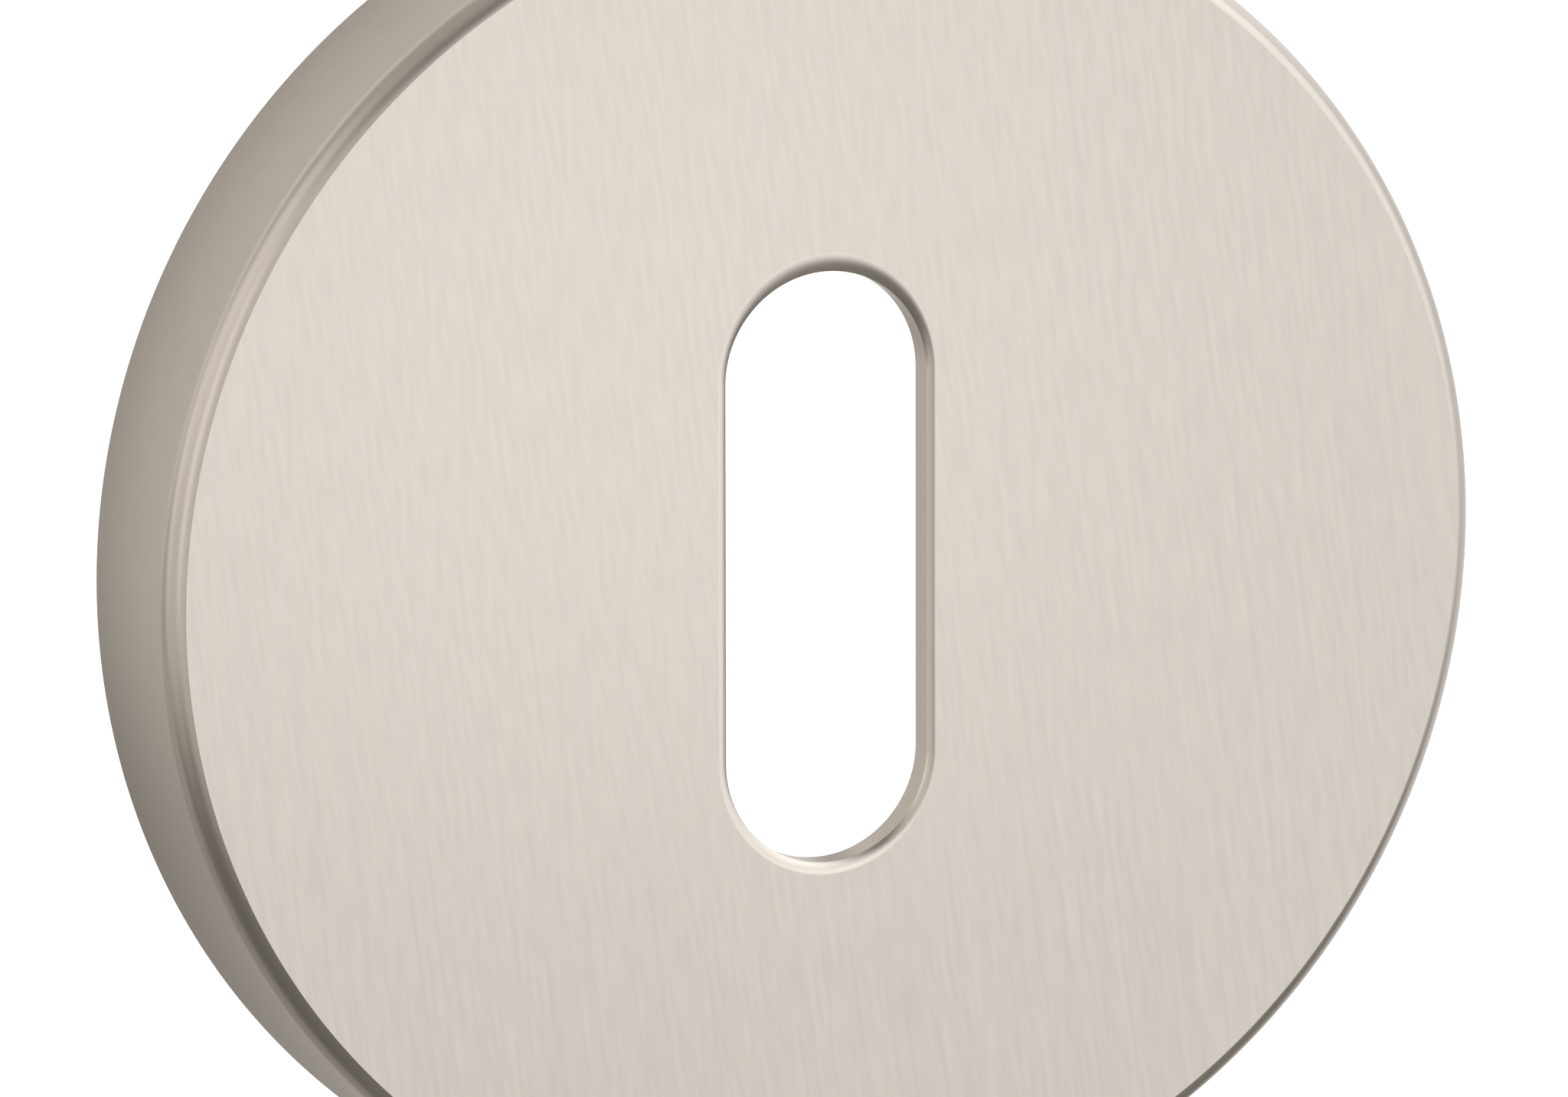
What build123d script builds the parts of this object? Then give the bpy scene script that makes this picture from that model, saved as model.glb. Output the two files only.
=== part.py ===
from build123d import *
import os

# Round key rosette for a door, in millimetres.
# X points right, Z points up, the front face looks along -Y and the door surface is the plane Y = 0.

# Cover: a cast shell with a flat face and a key slot
cover_d = 52.0
cover_h = 7.4
face_wall = 1.2
side_wall = 1.8
rim_radius = 1.0
face_grind = 0.05
slot_w = 8.0
slot_len = 22.2
lip_w = 0.6
lip_h = 0.3
mouth_chamfer = 0.4

# Snap joint between the cover and the base
fit_gap = 0.15
bead_reach = 0.45
bead_flat = 0.5
bead_depth = 4.4
groove_gap = 0.1

# Base: a moulded plate that is screwed to the door under the cover
floor_t = 1.6
rim_t = 1.6
slit_w = 1.2
slit_count = 6
opening_margin = 4.0
collar_t = 1.4
rib_t = 1.2
boss_d = 9.4
boss_h = 3.8
edge_to_screw = 7.0

# Fixing screws: countersunk wood screws with a plain neck, then a thread shown by its outside diameter
thread_d = 3.5
thread_gap = 0.2
neck_d = 3.0
head_d = 7.0
head_land = 0.25
head_recess = 0.2
screw_len = 16.0
tip_len = 3.0
tip_d = 0.5
recess_len = 3.6
recess_w = 0.9
recess_deep = 1.4
recess_taper = 6.0

# Sizes that follow from the ones above
cover_r = cover_d / 2
cavity_r = cover_r - side_wall
cavity_h = cover_h - face_wall
base_r = cavity_r - fit_gap
bead_r = base_r + bead_reach
groove_r = bead_r + groove_gap
opening_w = slot_w + 2 * opening_margin
opening_len = slot_len + 2 * opening_margin
sink_r = head_d / 2 + head_recess + head_land
head_y = -boss_h + head_recess
cone_h = (head_d - neck_d) / 2
step_h = (thread_d - neck_d) / 2
hole_r = thread_d / 2 + thread_gap
screw_x = cover_r - edge_to_screw

slot_r = slot_w / 2
slot_run = slot_len / 2 - slot_r
lip_over = lip_w

door = Plane.XZ
face = Plane.XZ.offset(cover_h)
boss_top = Plane.XZ.offset(boss_h)
floor_top = Plane.XZ.offset(floor_t)
radial = Plane.XY
lip_plane = Plane(origin=(slot_r, -cover_h, -slot_run), x_dir=(1, 0, 0), z_dir=(0, 0, 1))

# Edge of the key slot on the face, from the foot of its right-hand side
with BuildLine(face) as slot_edge:
    Line((slot_r, -slot_run), (slot_r, slot_run))
    CenterArc((0, slot_run), slot_r, 0, 180)
    Line((-slot_r, slot_run), (-slot_r, -slot_run))
    CenterArc((0, -slot_run), slot_r, 180, 180)

# Cover
with BuildPart() as cover:
    with BuildSketch(door) as cover_outline:
        Circle(cover_r)
    extrude(amount=cover_h + face_grind)

    # The rim is rounded before the face is ground flat, so the face ends in a crisp edge
    fillet(cover.faces().sort_by(Axis.Y)[0].edges(), rim_radius)
    split(bisect_by=face, keep=Keep.BOTTOM)

    with BuildSketch(door) as cavity_outline:
        Circle(cavity_r)
    extrude(amount=cavity_h, mode=Mode.SUBTRACT)

    # Undercut groove that takes the bead of the base; both flanks slope at 45 degrees
    with BuildSketch(radial) as groove_outline:
        with BuildLine() as groove_line:
            groove_half = bead_flat / 2 + groove_gap
            Polyline(
                (cavity_r - fit_gap, -bead_depth - groove_half - (groove_r - cavity_r) - fit_gap),
                (groove_r, -bead_depth - groove_half),
                (groove_r, -bead_depth + groove_half),
                (cavity_r - fit_gap, -bead_depth + groove_half + (groove_r - cavity_r) + fit_gap),
                close=True,
            )
        make_face()
    revolve(axis=Axis.Y, mode=Mode.SUBTRACT)

    # Key slot through the face wall
    with BuildSketch(face) as slot_outline:
        SlotOverall(slot_len, slot_w, rotation=90)
    extrude(amount=-2 * face_wall, mode=Mode.SUBTRACT)

    # Lip of the slot: brushing rounds it wider over the face than down the wall, as a quarter ellipse
    with BuildSketch(lip_plane) as lip_outline:
        with BuildLine() as lip_line:
            EllipticalCenterArc((lip_w, lip_h), lip_w, lip_h, start_angle=180, arc_size=90)
            Polyline((lip_w, 0), (lip_w, -lip_over), (-lip_over, -lip_over), (-lip_over, lip_h), (0, lip_h))
        make_face()
    sweep(path=slot_edge.wire(), mode=Mode.SUBTRACT)

    # Lead-in at the mouth
    chamfer(cover.faces().sort_by(Axis.Y)[-1].inner_wires()[0].edges(), mouth_chamfer)

# Base
with BuildPart() as base:
    with BuildSketch(door) as floor_outline:
        Circle(base_r)
    extrude(amount=floor_t)
    with BuildSketch(door) as rim_outline:
        Circle(base_r)
        Circle(base_r - rim_t, mode=Mode.SUBTRACT)
    extrude(amount=cavity_h)

    # Snap bead round the rim
    with BuildSketch(radial) as bead_outline:
        with BuildLine() as bead_line:
            Polyline(
                (base_r - rim_t / 2, -bead_depth - bead_flat / 2 - bead_reach - rim_t / 2),
                (bead_r, -bead_depth - bead_flat / 2),
                (bead_r, -bead_depth + bead_flat / 2),
                (base_r - rim_t / 2, -bead_depth + bead_flat / 2 + bead_reach + rim_t / 2),
                close=True,
            )
        make_face()
    revolve(axis=Axis.Y)

    # Slits that part the rim into springy tongues
    with BuildSketch(floor_top) as slit_outline:
        with PolarLocations(base_r - rim_t / 2, slit_count, start_angle=180 / slit_count):
            Rectangle(2 * rim_t + 2 * bead_reach, slit_w)
    extrude(amount=cavity_h, mode=Mode.SUBTRACT)

    # Screw bosses, collar and ribs, kept inside the rim
    with BuildSketch(door) as boss_outline:
        with Locations((screw_x, 0), (-screw_x, 0)):
            Circle(boss_d / 2)
        SlotOverall(opening_len + 2 * collar_t, opening_w + 2 * collar_t, rotation=90)
        Rectangle(2 * screw_x, rib_t)
        Rectangle(rib_t, 2 * base_r - 2 * rim_t - 2 * fit_gap)
        with PolarLocations(0, 2, start_angle=45, angular_range=90, endpoint=True):
            Rectangle(2 * base_r - 2 * rim_t - 2 * fit_gap, rib_t)
    extrude(amount=boss_h)

    # Opening behind the key slot, wide enough to stay out of sight
    with BuildSketch(door) as opening_outline:
        SlotOverall(opening_len, opening_w, rotation=90)
    extrude(amount=cavity_h, mode=Mode.SUBTRACT)

    # Countersunk screw holes
    with BuildSketch(door) as hole_outline:
        with Locations((screw_x, 0), (-screw_x, 0)):
            Circle(hole_r)
    extrude(amount=boss_h, mode=Mode.SUBTRACT)
    with BuildSketch(boss_top) as sink_outline:
        with Locations((screw_x, 0), (-screw_x, 0)):
            Circle(sink_r)
    extrude(amount=-(sink_r - hole_r), taper=45, mode=Mode.SUBTRACT)

# Two screws in one node, as separate solids
with BuildPart() as fixing_screws:
    for side in (-1, 1):
        with BuildSketch(radial) as screw_outline:
            with BuildLine() as screw_line:
                Polyline(
                    (side * screw_x, head_y),
                    (side * screw_x + head_d / 2, head_y),
                    (side * screw_x + head_d / 2, head_y + head_land),
                    (side * screw_x + neck_d / 2, head_y + head_land + cone_h),
                    (side * screw_x + neck_d / 2, -step_h),
                    (side * screw_x + thread_d / 2, 0),
                    (side * screw_x + thread_d / 2, head_y + screw_len - tip_len),
                    (side * screw_x + tip_d / 2, head_y + screw_len),
                    (side * screw_x, head_y + screw_len),
                    close=True,
                )
            make_face()
        revolve(axis=Axis((side * screw_x, 0, 0), (0, 1, 0)))

    # Cross recess in each head
    with BuildSketch(Plane.XZ.offset(-head_y)) as recess_outline:
        with Locations((screw_x, 0), (-screw_x, 0)):
            Rectangle(recess_len, recess_w)
            Rectangle(recess_w, recess_len)
    extrude(amount=-recess_deep, taper=recess_taper, mode=Mode.SUBTRACT)

cover.part.label = "cover"
base.part.label = "base"
fixing_screws.part.label = "fixing_screws"

os.makedirs("parts", exist_ok=True)
export_step(cover.part, "parts/cover.step")
export_step(base.part, "parts/base.step")
export_step(fixing_screws.part, "parts/fixing_screws.step")
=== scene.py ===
import math

import bmesh
import bpy
from mathutils import Matrix, Vector


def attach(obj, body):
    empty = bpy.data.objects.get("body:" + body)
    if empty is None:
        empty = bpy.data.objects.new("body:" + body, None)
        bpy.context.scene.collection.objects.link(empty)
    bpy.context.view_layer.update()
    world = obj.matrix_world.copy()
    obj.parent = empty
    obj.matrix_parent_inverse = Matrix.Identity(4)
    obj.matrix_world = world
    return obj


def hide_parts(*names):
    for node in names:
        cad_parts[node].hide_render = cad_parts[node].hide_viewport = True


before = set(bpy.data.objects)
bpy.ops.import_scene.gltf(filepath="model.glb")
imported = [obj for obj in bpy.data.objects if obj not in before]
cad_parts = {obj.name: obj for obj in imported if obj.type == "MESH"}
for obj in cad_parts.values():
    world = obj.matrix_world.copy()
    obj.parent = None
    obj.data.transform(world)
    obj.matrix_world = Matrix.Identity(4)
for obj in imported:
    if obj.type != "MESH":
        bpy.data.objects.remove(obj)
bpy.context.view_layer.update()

MM = 0.001

# The cover's sizes, in millimetres, as in the source of the solids
COVER_R = 26.0
COVER_H = 7.4
FACE_WALL = 1.2
SIDE_WALL = 1.8
RIM_RADIUS = 1.0
FACE_GRIND = 0.05
SLOT_W = 8.0
SLOT_LEN = 22.2
MOUTH_CHAMFER = 0.4
GROOVE_R = 24.6
GROOVE_Y = -4.4
GROOVE_HALF_FLAT = 0.35

# Width and depth of the slot's lip, in millimetres, as the photograph shows it.
# The brushing has rounded it more at the ends than along the sides, while the solid's lip is even.
LIP_TOP = (0.69, 0.13)
LIP_SIDE = (0.33, 0.13)
LIP_BOTTOM = (0.45, 0.15)

# Fineness of the cover's mesh: points round each ring, and steps over the rim and over the lip
RING_POINTS = 384
CURVE_STEPS = 12

# The cover's two materials, in the order of its material list
FACE_INDEX = 0
SIDE_INDEX = 1

# The screws, in millimetres: their shanks are cut off at CUT_Y and made again with a thread
SCREW_X = 19.0
CUT_Y = -0.6
NECK_R = 1.5
CORE_R = 1.15
THREAD_R = 1.75
THREAD_PITCH = 1.6
THREAD_HALF_WIDTH = 0.34
TIP_Y = 12.4
TIP_LEN = 3.0
TIP_R = 0.25
TIP_CORE_R = 0.15

# Where the neck starts to narrow to the core and where the thread starts to rise, each with its run
CORE_START = -0.3
CORE_RUN = 0.8
THREAD_START = -0.1
THREAD_RUN = 1.2

# Fineness of the shanks' mesh: points round, step along in millimetres, and the least angle of a sharp edge
SHANK_POINTS = 40
SHANK_STEP = 0.05
SHARP_ANGLE = math.radians(40)

# Brush lines on the face lean to the left at the top; their map covers a square of so many millimetres
BRUSH_TILT = math.radians(7.7)
UV_SPAN = 60.0

# Noise values mostly lie in this range
NOISE_LOW = 0.2
NOISE_HIGH = 0.8

# Satin nickel. The brush lines have so many cells per millimetre across and along them.
# A tone is the range of factors on the colour, here and below.
FACE_COLOUR = (0.75, 0.703, 0.65)
FACE_ANISOTROPY = 0.5
FACE_ROUGHNESS = (0.32, 0.40)
LONG_LINES_CELLS = (2.6, 0.05)
LONG_LINES_DETAIL = 1.5
LONG_LINES_TONE = (0.93, 1.07)
SHORT_LINES_CELLS = (4.5, 0.5)
SHORT_LINES_DETAIL = 0.0
SHORT_LINES_TONE = (0.975, 1.025)
LINES_NOISE_ROUGHNESS = 0.6
SIDE_COLOUR = (0.69, 0.645, 0.595)
SIDE_TONE = (0.985, 1.015)
SIDE_ROUGHNESS = (0.27, 0.29)

# Black nylon with a fine moulded texture, its depth in metres
NYLON_COLOUR = (0.06, 0.06, 0.065)
NYLON_TONE = (0.85, 1.15)
NYLON_ROUGHNESS = (0.48, 0.62)
NYLON_BUMP_STRENGTH = 0.25
NYLON_BUMP_DEPTH = 0.00005

# Bright zinc plate, a little uneven
ZINC_COLOUR = (0.72, 0.72, 0.73)
ZINC_TONE = (0.93, 1.07)
ZINC_ROUGHNESS = (0.20, 0.34)

# Grain of the plain surfaces: cells per metre, and detail
SIDE_GRAIN = (900.0, 1.0)
NYLON_GRAIN = (3000.0, 2.0)
ZINC_GRAIN = (900.0, 3.0)

# Floor under the rosette, in metres
FLOOR_Z = -COVER_R * MM
FLOOR_HALF = 4.0
FLOOR_COLOUR = (0.7, 0.7, 0.7, 1)
FLOOR_ROUGHNESS = 0.9
FLOOR_CAMERA_GLOW = 0.72

# Level and tint of the room, and the soft lights in it. Each light has its place, in degrees round to the
# right from the front and degrees up, the half angles where it is full and where it has faded out, in
# degrees, its strength and its tint.
WHITE = (1.0, 1.0, 1.0)
ROOM_TINT = (1.0, 0.955, 0.89)
ROOM_LEVEL = 0.157
SOFT_LIGHTS = [
    (42, 12, 26, 48, 1.03, WHITE),
    (60, 55, 15, 42, 0.55, WHITE),
    (130, 50, 15, 50, 0.45, WHITE),
    (115, 4, 25, 50, 0.58, WHITE),
    (152, -10, 10, 30, 0.34, ROOM_TINT),
    (40, -60, 10, 45, 0.10, ROOM_TINT),
    (-29, 4, 21, 33, 0.56, ROOM_TINT),
    (-76, 11, 25, 45, 0.49, ROOM_TINT),
    (-160, 16, 22, 42, 0.46, ROOM_TINT),
    (-100, 48, 20, 60, 0.28, ROOM_TINT),
    (-118, -5, 10, 32, 0.24, ROOM_TINT),
    (-148, -46, 20, 42, 0.17, ROOM_TINT),
    (166, -24, 12, 36, 0.24, ROOM_TINT),
]

# Lamp close to the face, in metres and watts
LAMP_PLACE = Vector((0.019, -0.089, -0.005))
LAMP_AIM = Vector((-0.014, -0.0074, 0.012))
LAMP_SIZE = 0.04
LAMP_POWER = 0.0016

# Ring of shade behind the edge, in metres: it is darkest up to SHADE_FULL and fades out at SHADE_OUT,
# and its centre lies SHADE_DROP below the rosette's
SHADE_IN = 0.0245
SHADE_FULL = 0.0260
SHADE_OUT = 0.0292
SHADE_Y = 0.0004
SHADE_DROP = 0.0008
SHADE_DEPTH = 0.36
SHADE_POINTS = 96

# Camera, from a fit to the outline, the slot and the face's edge in the photograph: angles, distance in
# millimetres, focal length and the place of the face's centre in pixels of the photograph
PHOTO_W = 2048.0
PHOTO_H = 1433.0
VIEW_AZ = math.radians(-22.23)
VIEW_EL = math.radians(11.23)
VIEW_ROLL = math.radians(-0.08)
VIEW_DIST = 1000.0
FOCAL_PX = 35450.0
FACE_CENTRE_PX = (1081.0, 742.0)
SENSOR_MM = 36.0

# Nearest and farthest distance that the camera sees, in metres
CLIP_START = 0.01
CLIP_END = 100.0


def direction(az, el):
    """The unit vector towards a place, given as angles round to the right from the front, and up."""
    return (math.sin(az) * math.cos(el), -math.cos(az) * math.cos(el), math.sin(el))


def link(obj):
    """Puts an object into the scene."""
    bpy.context.scene.collection.objects.link(obj)
    return obj


def slot_outline(circle):
    """Points round the key slot with their outward directions, as (x, z, nx, nz)."""
    half_w = SLOT_W / 2
    run = SLOT_LEN / 2 - half_w
    points = []
    for c, s in circle:
        middle = run if s > 0 else -run
        points.append((half_w * c, middle + half_w * s, c, s))
    return points


def lip_sizes(nz):
    """Width and depth of the slot's lip where the outward direction rises by nz."""
    end = LIP_TOP if nz > 0 else LIP_BOTTOM
    return [at_side + (at_end - at_side) * nz * nz for at_side, at_end in zip(LIP_SIDE, end)]


def cover_mesh():
    """The cover as rings joined by strips, each strip with the exact normals of its surface."""
    verts, faces, normals, face_mats = [], [], [], []
    angles = [2 * math.pi * (i + 0.5) / RING_POINTS for i in range(RING_POINTS)]
    circle = [(math.cos(a), math.sin(a)) for a in angles]
    slot = slot_outline(circle)
    lips = [lip_sizes(nz) for _, _, _, nz in slot]
    rings = {}
    face_y = -COVER_H
    back_y = -COVER_H + FACE_WALL

    def add_ring(key, points):
        """The index of a ring's first vertex; the ring is added when it is new."""
        if key not in rings:
            rings[key] = len(verts)
            verts.extend([c * MM for c in p] for p in points)
        return rings[key]

    def lathe_ring(r, y):
        return add_ring(("lathe", round(r, 5), round(y, 5)), [(r * c, y, r * s) for c, s in circle])

    def slot_ring(y):
        return add_ring(("slot", round(y, 5)), [(x, y, z) for x, z, _, _ in slot])

    def lip_ring(t):
        """A ring of the lip, from its edge on the face at 0 to the slot's wall at 1."""
        points = [
            (x + (1 - t) * w * nx, face_y + h * t * t, z + (1 - t) * w * nz)
            for (x, z, nx, nz), (w, h) in zip(slot, lips)
        ]
        return add_ring(("lip", t), points)

    def rim_ring(a):
        """A ring of the rim, where its surface leans by the angle a from the face."""
        r = COVER_R - RIM_RADIUS * (1 - math.sin(a))
        y = face_y - FACE_GRIND + RIM_RADIUS * (1 - math.cos(a))
        return lathe_ring(r, y)

    def lathe_normals(nr, ny):
        return [Vector((nr * c, ny, nr * s)) for c, s in circle]

    def lip_normals(t):
        slopes = [2 * h * t / w for w, h in lips]
        return [Vector((-nx * m, -1, -nz * m)) for (_, _, nx, nz), m in zip(slot, slopes)]

    def rim_normals(a):
        return lathe_normals(math.sin(a), -math.cos(a))

    def strip(ring_a, ring_b, normals_a, normals_b, mat):
        """Quads from ring a to ring b."""
        for i in range(RING_POINTS):
            j = (i + 1) % RING_POINTS
            faces.append((ring_a + i, ring_a + j, ring_b + j, ring_b + i))
            normals.extend((normals_a[i], normals_a[j], normals_b[j], normals_b[i]))
            face_mats.append(mat)

    # Lip of the slot, a parabola from the face down into the slot, then the slot's wall
    for k in range(CURVE_STEPS):
        t, u = k / CURVE_STEPS, (k + 1) / CURVE_STEPS
        strip(lip_ring(t), lip_ring(u), lip_normals(t), lip_normals(u), SIDE_INDEX)
    wall = [Vector((-nx, 0, -nz)) for _, _, nx, nz in slot]
    strip(lip_ring(1.0), slot_ring(back_y), wall, wall, SIDE_INDEX)

    # Rounded rim, cut off by the ground face, so that it starts with a slope at the face's edge
    first = math.acos(1 - FACE_GRIND / RIM_RADIUS)
    last = math.pi / 2
    for k in range(CURVE_STEPS):
        a, b = (first + (last - first) * t / CURVE_STEPS for t in (k, k + 1))
        strip(rim_ring(b), rim_ring(a), rim_normals(b), rim_normals(a), SIDE_INDEX)

    # Face, from the rim to the lip, and the side
    front = lathe_normals(0, -1)
    strip(rim_ring(first), lip_ring(0.0), front, front, FACE_INDEX)
    side = lathe_normals(1, 0)
    strip(lathe_ring(COVER_R, 0), rim_ring(last), side, side, SIDE_INDEX)

    # Back edge, mouth chamfer, cavity wall with its groove: radius and Y, and the normal of the way there
    cavity_r = COVER_R - SIDE_WALL
    slope = GROOVE_R - cavity_r
    half = math.sqrt(0.5)
    profile = [
        (COVER_R, 0, None),
        (cavity_r + MOUTH_CHAMFER, 0, (0, 1)),
        (cavity_r, -MOUTH_CHAMFER, (-half, half)),
        (cavity_r, GROOVE_Y + GROOVE_HALF_FLAT + slope, (-1, 0)),
        (GROOVE_R, GROOVE_Y + GROOVE_HALF_FLAT, (-half, -half)),
        (GROOVE_R, GROOVE_Y - GROOVE_HALF_FLAT, (-1, 0)),
        (cavity_r, GROOVE_Y - GROOVE_HALF_FLAT - slope, (-half, half)),
        (cavity_r, back_y, (-1, 0)),
    ]
    for (r0, y0, _), (r1, y1, n) in zip(profile, profile[1:]):
        around = lathe_normals(*n)
        strip(lathe_ring(r1, y1), lathe_ring(r0, y0), around, around, SIDE_INDEX)

    # Back of the face wall
    rear = lathe_normals(0, 1)
    strip(slot_ring(back_y), lathe_ring(cavity_r, back_y), rear, rear, SIDE_INDEX)

    mesh = bpy.data.meshes.new("cover_skin")
    mesh.from_pydata(verts, [], faces)
    mesh.polygons.foreach_set("material_index", face_mats)
    mesh.polygons.foreach_set("use_smooth", [True] * len(faces))
    mesh.normals_split_custom_set([n.normalized() for n in normals])
    brush = mesh.uv_layers.new(name="brush")
    cos_t, sin_t = math.cos(BRUSH_TILT), math.sin(BRUSH_TILT)
    for loop in mesh.loops:
        x, _, z = (c / MM for c in verts[loop.vertex_index])
        across, along = x * cos_t + z * sin_t, z * cos_t - x * sin_t
        brush.data[loop.index].uv = (0.5 + across / UV_SPAN, 0.5 + along / UV_SPAN)
    mesh.update()
    return mesh


def smooth_step(t):
    """Rises smoothly from 0 to 1 as t does."""
    t = min(max(t, 0.0), 1.0)
    return t * t * (3 - 2 * t)


def thread_radius(y, turn):
    """The screw's radius at a place along its axis, turn being the angle as a part of a whole turn."""
    to_tip = min(max((TIP_Y - y) / TIP_LEN, 0.0), 1.0)
    core = TIP_CORE_R + (CORE_R - TIP_CORE_R) * to_tip
    crest = TIP_R + (THREAD_R - TIP_R) * to_tip
    phase = (y / THREAD_PITCH - turn + 0.5) % 1.0 - 0.5
    ridge = max(0.0, 1 - abs(phase) * THREAD_PITCH / THREAD_HALF_WIDTH)
    grown = smooth_step((y - THREAD_START) / THREAD_RUN)
    plain = NECK_R + (core - NECK_R) * smooth_step((y - CORE_START) / CORE_RUN)
    return max(plain, core + (crest - core) * ridge * grown)


def screws_mesh(node):
    """The heads of the solids with their recesses, and threaded shanks below them."""
    bm = bmesh.new()
    bm.from_mesh(node.data)
    bmesh.ops.bisect_plane(
        bm,
        geom=bm.verts[:] + bm.edges[:] + bm.faces[:],
        plane_co=(0, CUT_Y * MM, 0),
        plane_no=(0, 1, 0),
        clear_outer=True,
    )
    rows = round((TIP_Y - CUT_Y) / SHANK_STEP)
    for side in (-1, 1):
        grid = []
        for j in range(rows + 1):
            y = CUT_Y + (TIP_Y - CUT_Y) * j / rows
            ring = []
            for i in range(SHANK_POINTS):
                a = 2 * math.pi * i / SHANK_POINTS
                r = thread_radius(y, i / SHANK_POINTS)
                x, z = side * SCREW_X + r * math.cos(a), r * math.sin(a)
                ring.append(bm.verts.new((x * MM, y * MM, z * MM)))
            grid.append(ring)
        for low, high in zip(grid, grid[1:]):
            for i in range(SHANK_POINTS):
                j = (i + 1) % SHANK_POINTS
                bm.faces.new((low[i], high[i], high[j], low[j]))
        bm.faces.new(grid[-1][::-1])
    for face in bm.faces:
        face.smooth = True
    mesh = bpy.data.meshes.new("screws_skin")
    bm.to_mesh(mesh)
    bm.free()
    mesh.set_sharp_from_angle(angle=SHARP_ANGLE)
    return mesh


def material(name):
    """A new material with a Principled shader, and that shader."""
    mat = bpy.data.materials.new(name)
    mat.use_nodes = True
    return mat, mat.node_tree.nodes["Principled BSDF"]


def brush_noise(tree, coords, cells, detail):
    """Noise over the brush map, with so many cells per millimetre across and along the lines."""
    scaled = tree.nodes.new("ShaderNodeVectorMath")
    scaled.operation = "MULTIPLY"
    scaled.inputs[1].default_value = (cells[0] * UV_SPAN, cells[1] * UV_SPAN, 1)
    tree.links.new(coords, scaled.inputs[0])
    node = tree.nodes.new("ShaderNodeTexNoise")
    node.noise_dimensions = "2D"
    node.inputs["Scale"].default_value = 1.0
    node.inputs["Detail"].default_value = detail
    node.inputs["Roughness"].default_value = LINES_NOISE_ROUGHNESS
    tree.links.new(scaled.outputs["Vector"], node.inputs["Vector"])
    return node.outputs["Fac"]


def grain(tree, cells, detail):
    """Even noise over the object, with so many cells per metre."""
    coords = tree.nodes.new("ShaderNodeTexCoord")
    node = tree.nodes.new("ShaderNodeTexNoise")
    node.inputs["Scale"].default_value = cells
    node.inputs["Detail"].default_value = detail
    tree.links.new(coords.outputs["Object"], node.inputs["Vector"])
    return node.outputs["Fac"]


def spread(tree, value, low, high):
    """Maps noise from its usual range to low and high."""
    node = tree.nodes.new("ShaderNodeMapRange")
    node.inputs["From Min"].default_value = NOISE_LOW
    node.inputs["From Max"].default_value = NOISE_HIGH
    node.inputs["To Min"].default_value = low
    node.inputs["To Max"].default_value = high
    tree.links.new(value, node.inputs["Value"])
    return node.outputs["Result"]


def product(tree, a, b):
    """One value times another."""
    node = tree.nodes.new("ShaderNodeMath")
    node.operation = "MULTIPLY"
    tree.links.new(a, node.inputs[0])
    tree.links.new(b, node.inputs[1])
    return node.outputs["Value"]


def link_colour(tree, bsdf, colour, factor):
    """A base colour multiplied by a factor."""
    scaled = tree.nodes.new("ShaderNodeVectorMath")
    scaled.operation = "SCALE"
    scaled.inputs["Vector"].default_value = colour
    tree.links.new(factor, scaled.inputs["Scale"])
    tree.links.new(scaled.outputs["Vector"], bsdf.inputs["Base Color"])


def link_roughness(tree, bsdf, value, low, high):
    """A roughness that follows noise from low to high."""
    tree.links.new(spread(tree, value, low, high), bsdf.inputs["Roughness"])


# Satin nickel: a brushed face and a plain satin side
face_mat, face_bsdf = material("satin_nickel_face")
face_bsdf.inputs["Metallic"].default_value = 1.0
face_bsdf.inputs["Anisotropic"].default_value = FACE_ANISOTROPY
tree = face_mat.node_tree
brush_map = tree.nodes.new("ShaderNodeUVMap")
brush_map.uv_map = "brush"
long_lines = brush_noise(tree, brush_map.outputs["UV"], LONG_LINES_CELLS, LONG_LINES_DETAIL)
short_lines = brush_noise(tree, brush_map.outputs["UV"], SHORT_LINES_CELLS, SHORT_LINES_DETAIL)
long_tone = spread(tree, long_lines, *LONG_LINES_TONE)
short_tone = spread(tree, short_lines, *SHORT_LINES_TONE)
link_colour(tree, face_bsdf, FACE_COLOUR, product(tree, long_tone, short_tone))
link_roughness(tree, face_bsdf, long_lines, *FACE_ROUGHNESS)
tangent = tree.nodes.new("ShaderNodeTangent")
tangent.direction_type = "UV_MAP"
tangent.uv_map = "brush"
tree.links.new(tangent.outputs["Tangent"], face_bsdf.inputs["Tangent"])

side_mat, side_bsdf = material("satin_nickel_side")
side_bsdf.inputs["Metallic"].default_value = 1.0
tree = side_mat.node_tree
side_grain = grain(tree, *SIDE_GRAIN)
link_colour(tree, side_bsdf, SIDE_COLOUR, spread(tree, side_grain, *SIDE_TONE))
link_roughness(tree, side_bsdf, side_grain, *SIDE_ROUGHNESS)

# Nylon of the base
base_mat, base_bsdf = material("base_nylon")
tree = base_mat.node_tree
base_grain = grain(tree, *NYLON_GRAIN)
link_colour(tree, base_bsdf, NYLON_COLOUR, spread(tree, base_grain, *NYLON_TONE))
link_roughness(tree, base_bsdf, base_grain, *NYLON_ROUGHNESS)
texture = tree.nodes.new("ShaderNodeBump")
texture.inputs["Strength"].default_value = NYLON_BUMP_STRENGTH
texture.inputs["Distance"].default_value = NYLON_BUMP_DEPTH
tree.links.new(base_grain, texture.inputs["Height"])
tree.links.new(texture.outputs["Normal"], base_bsdf.inputs["Normal"])

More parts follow.
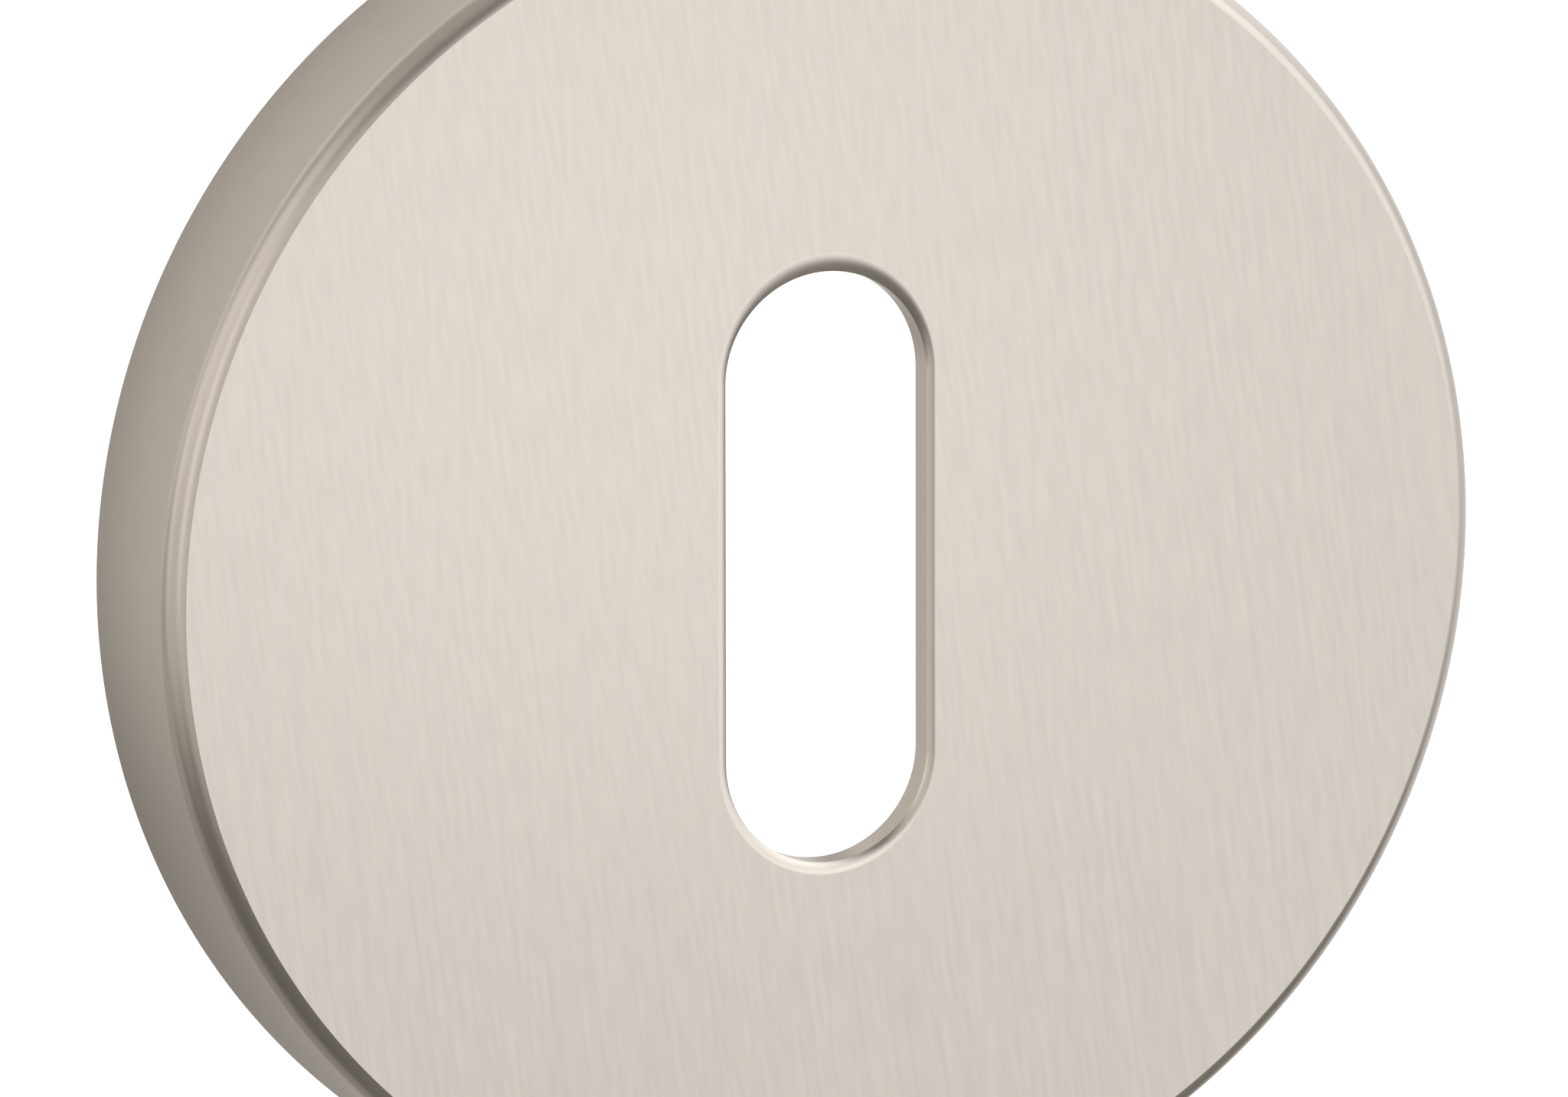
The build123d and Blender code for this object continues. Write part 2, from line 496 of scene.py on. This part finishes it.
# Zinc plate of the screws
screw_mat, screw_bsdf = material("screw_steel")
screw_bsdf.inputs["Metallic"].default_value = 1.0
tree = screw_mat.node_tree
screw_grain = grain(tree, *ZINC_GRAIN)
link_colour(tree, screw_bsdf, ZINC_COLOUR, spread(tree, screw_grain, *ZINC_TONE))
link_roughness(tree, screw_bsdf, screw_grain, *ZINC_ROUGHNESS)

# The pieces: a finer cover, threaded screws, and the base as the solid itself
cover = link(bpy.data.objects.new("cover_skin", cover_mesh()))
cover.data.materials.append(face_mat)
cover.data.materials.append(side_mat)
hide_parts("cover")
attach(cover, "root")

screws = link(bpy.data.objects.new("screws_skin", screws_mesh(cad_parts["fixing_screws"])))
screws.data.materials.clear()
screws.data.materials.append(screw_mat)
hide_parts("fixing_screws")
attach(screws, "root")

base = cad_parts["base"]
base.data.materials.clear()
base.data.materials.append(base_mat)

# Floor: pale, white to the camera, and hidden from the metal's reflections
floor_mesh = bpy.data.meshes.new("floor")
floor_mesh.from_pydata(
    [(x * FLOOR_HALF, y * FLOOR_HALF, FLOOR_Z) for x, y in ((-1, -1), (1, -1), (1, 1), (-1, 1))],
    [],
    [(0, 1, 2, 3)],
)
floor = link(bpy.data.objects.new("floor", floor_mesh))
floor.visible_glossy = False
floor_mat, floor_bsdf = material("floor_pale")
floor_bsdf.inputs["Base Color"].default_value = FLOOR_COLOUR
floor_bsdf.inputs["Roughness"].default_value = FLOOR_ROUGHNESS
floor_bsdf.inputs["Specular IOR Level"].default_value = 0.0
floor_bsdf.inputs["Emission Color"].default_value = (*WHITE, 1)
tree = floor_mat.node_tree
floor_path = tree.nodes.new("ShaderNodeLightPath")
floor_glow = tree.nodes.new("ShaderNodeMath")
floor_glow.operation = "MULTIPLY"
floor_glow.inputs[1].default_value = FLOOR_CAMERA_GLOW
tree.links.new(floor_path.outputs["Is Camera Ray"], floor_glow.inputs[0])
tree.links.new(floor_glow.outputs["Value"], floor_bsdf.inputs["Emission Strength"])
floor.data.materials.append(floor_mat)

# World: white to the camera, and a grey studio with soft lights for everything else
world = bpy.data.worlds.new("studio")
bpy.context.scene.world = world
world.use_nodes = True
tree = world.node_tree
tree.nodes.clear()
world_out = tree.nodes.new("ShaderNodeOutputWorld")
world_mix = tree.nodes.new("ShaderNodeMixShader")
room = tree.nodes.new("ShaderNodeBackground")
white = tree.nodes.new("ShaderNodeBackground")
white.inputs["Color"].default_value = (*WHITE, 1)
white.inputs["Strength"].default_value = 1.0
world_path = tree.nodes.new("ShaderNodeLightPath")
look = tree.nodes.new("ShaderNodeTexCoord")
total = tree.nodes.new("ShaderNodeRGB").outputs["Color"]
total.default_value = (*(ROOM_LEVEL * c for c in ROOM_TINT), 1)
for az, el, inner, outer, strength, tint in SOFT_LIGHTS:
    toward = tree.nodes.new("ShaderNodeVectorMath")
    toward.operation = "DOT_PRODUCT"
    toward.inputs[1].default_value = direction(math.radians(az), math.radians(el))
    tree.links.new(look.outputs["Generated"], toward.inputs[0])
    fade = tree.nodes.new("ShaderNodeMapRange")
    fade.interpolation_type = "SMOOTHSTEP"
    fade.inputs["From Min"].default_value = math.cos(math.radians(outer))
    fade.inputs["From Max"].default_value = math.cos(math.radians(inner))
    tree.links.new(toward.outputs["Value"], fade.inputs["Value"])
    added = tree.nodes.new("ShaderNodeVectorMath")
    added.operation = "MULTIPLY_ADD"
    added.inputs[1].default_value = [strength * c for c in tint]
    tree.links.new(fade.outputs["Result"], added.inputs[0])
    tree.links.new(total, added.inputs[2])
    total = added.outputs["Vector"]
tree.links.new(total, room.inputs["Color"])
tree.links.new(world_path.outputs["Is Camera Ray"], world_mix.inputs[0])
tree.links.new(room.outputs[0], world_mix.inputs[1])
tree.links.new(white.outputs[0], world_mix.inputs[2])
tree.links.new(world_mix.outputs[0], world_out.inputs["Surface"])

# Lamp close to the face, which makes its upper left a little brighter
lamp_data = bpy.data.lights.new("face_lamp", "AREA")
lamp_data.size = LAMP_SIZE
lamp_data.energy = LAMP_POWER
lamp = link(bpy.data.objects.new("face_lamp", lamp_data))
lamp.location = LAMP_PLACE
lamp.rotation_euler = (LAMP_AIM - LAMP_PLACE).to_track_quat("-Z", "Y").to_euler()
lamp.visible_camera = False

# Shade close behind the edge, seen in reflections only: it darkens the side towards the door
shade_verts, shade_faces = [], []
for i in range(SHADE_POINTS):
    a = 2 * math.pi * i / SHADE_POINTS
    for r in (SHADE_IN, SHADE_OUT):
        shade_verts.append((r * math.cos(a), SHADE_Y, r * math.sin(a)))
    j = 2 * ((i + 1) % SHADE_POINTS)
    shade_faces.append((2 * i, 2 * i + 1, j + 1, j))
shade_mesh = bpy.data.meshes.new("shade")
shade_mesh.from_pydata(shade_verts, [], shade_faces)
shade = link(bpy.data.objects.new("shade", shade_mesh))
shade.location.z = -SHADE_DROP
shade.visible_camera = False
shade.visible_diffuse = False
shade.visible_shadow = False
shade_mat = bpy.data.materials.new("shade")
shade_mat.use_nodes = True
tree = shade_mat.node_tree
tree.nodes.clear()
shade_at = tree.nodes.new("ShaderNodeTexCoord")
shade_r = tree.nodes.new("ShaderNodeVectorMath")
shade_r.operation = "LENGTH"
shade_fade = tree.nodes.new("ShaderNodeMapRange")
shade_fade.inputs["From Min"].default_value = SHADE_FULL
shade_fade.inputs["From Max"].default_value = SHADE_OUT
shade_fade.inputs["To Min"].default_value = SHADE_DEPTH
shade_fade.inputs["To Max"].default_value = 0.0
shade_clear = tree.nodes.new("ShaderNodeBsdfTransparent")
shade_dark = tree.nodes.new("ShaderNodeBsdfDiffuse")
shade_dark.inputs["Color"].default_value = (0, 0, 0, 1)
shade_mix = tree.nodes.new("ShaderNodeMixShader")
shade_out = tree.nodes.new("ShaderNodeOutputMaterial")
tree.links.new(shade_at.outputs["Object"], shade_r.inputs[0])
tree.links.new(shade_r.outputs["Value"], shade_fade.inputs["Value"])
tree.links.new(shade_fade.outputs["Result"], shade_mix.inputs[0])
tree.links.new(shade_clear.outputs[0], shade_mix.inputs[1])
tree.links.new(shade_dark.outputs[0], shade_mix.inputs[2])
tree.links.new(shade_mix.outputs[0], shade_out.inputs["Surface"])
shade.data.materials.append(shade_mat)

# Camera, aimed so that the face's centre falls where the photograph has it
right = Vector((math.cos(VIEW_AZ), math.sin(VIEW_AZ), 0))
back = Vector(direction(VIEW_AZ, VIEW_EL))
up = back.cross(right)
cos_roll, sin_roll = math.cos(VIEW_ROLL), math.sin(VIEW_ROLL)
right, up = right * cos_roll + up * sin_roll, up * cos_roll - right * sin_roll
aim = Vector((0, -COVER_H, 0))
aim -= right * (FACE_CENTRE_PX[0] - PHOTO_W / 2) / FOCAL_PX * VIEW_DIST
aim += up * (FACE_CENTRE_PX[1] - PHOTO_H / 2) / FOCAL_PX * VIEW_DIST
place = (aim + back * VIEW_DIST) * MM
camera_data = bpy.data.cameras.new("camera")
camera_data.sensor_width = SENSOR_MM
camera_data.lens = FOCAL_PX / PHOTO_W * SENSOR_MM
camera_data.clip_start = CLIP_START
camera_data.clip_end = CLIP_END
camera = link(bpy.data.objects.new("camera", camera_data))
camera.matrix_world = Matrix(
    (
        (right.x, up.x, back.x, place.x),
        (right.y, up.y, back.y, place.y),
        (right.z, up.z, back.z, place.z),
        (0, 0, 0, 1),
    )
)
bpy.context.scene.camera = camera
bpy.context.scene.view_settings.view_transform = "Standard"
